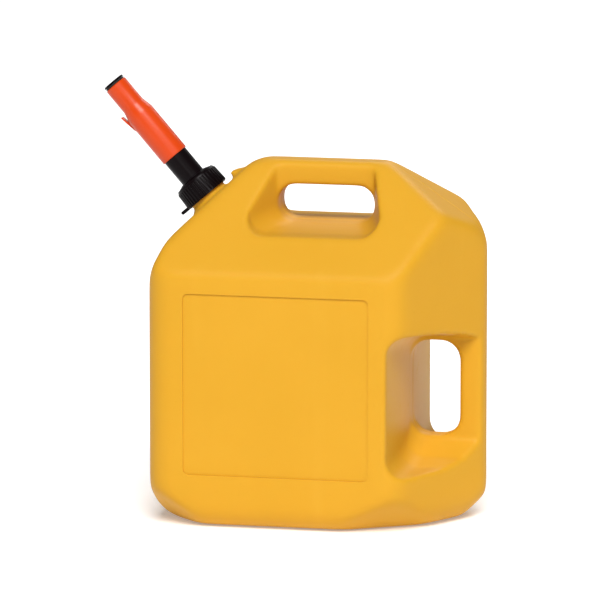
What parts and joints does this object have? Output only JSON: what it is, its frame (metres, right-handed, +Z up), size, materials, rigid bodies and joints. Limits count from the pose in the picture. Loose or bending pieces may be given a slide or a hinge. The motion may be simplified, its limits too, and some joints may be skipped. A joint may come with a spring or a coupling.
{
  "type": "jerry can",
  "caption": "Plastic fuel can with moulded carrying handle and rear pouring grip, and a screw-on spout whose spring-loaded sleeve opens a tip valve.",
  "frame": {"origin": "centre of the can's flat base, on the ground", "axes": "+Z up, -X towards the spout, +X towards the rear grip, can symmetric about Y = 0"},
  "size_m": [0.4094, 0.25, 0.4565],
  "materials": {
    "can_yellow": "satin blow-moulded polyethylene",
    "sleeve_orange": "satin moulded polypropylene",
    "spout_black": "satin moulded polypropylene",
    "seal_rubber": "matt nitrile rubber",
    "spring_steel": "drawn stainless steel",
    "natural_plastic": "natural acetal"
  },
  "bodies": {
    "can": {"can_body": "can_yellow", "flame_screen": "spring_steel", "screen_ring": "natural_plastic"},
    "spout": {"spout_tube": "spout_black", "tube_seal": "seal_rubber", "rod_spider": "natural_plastic", "vent_rod": "spring_steel", "rod_clip": "spring_steel", "spring_seat": "spring_steel", "return_spring": "spring_steel", "valve_head": "spout_black", "valve_seal": "seal_rubber", "neck_gasket": "seal_rubber", "slip_washer": "natural_plastic"},
    "collar": {"screw_collar": "spout_black"},
    "sleeve": {"slide_sleeve": "sleeve_orange", "nozzle_guide": "natural_plastic"}
  },
  "joints": [
    {"name": "spout_lift", "type": "slide", "parent": "can", "child": "spout", "axis": [-0.6561, 0, 0.7547], "range_m": [0, 0.012]},
    {"name": "collar_turn", "type": "hinge", "parent": "spout", "child": "collar", "pos_m": [-0.1234, 0, 0.3256], "axis": [-0.6561, 0, 0.7547], "range_deg": [0, 1079]},
    {"name": "sleeve_slide", "type": "slide", "parent": "spout", "child": "sleeve", "axis": [0.6561, 0, -0.7547], "range_m": [0, 0.024], "stiffness_N_per_m": 350, "springref_m": -0.02, "deforming": ["return_spring"]}
  ],
  "couplings": [
    {"joint": "spout_lift", "follows": "collar_turn", "m_per_rad": 0.00063662}
  ]
}
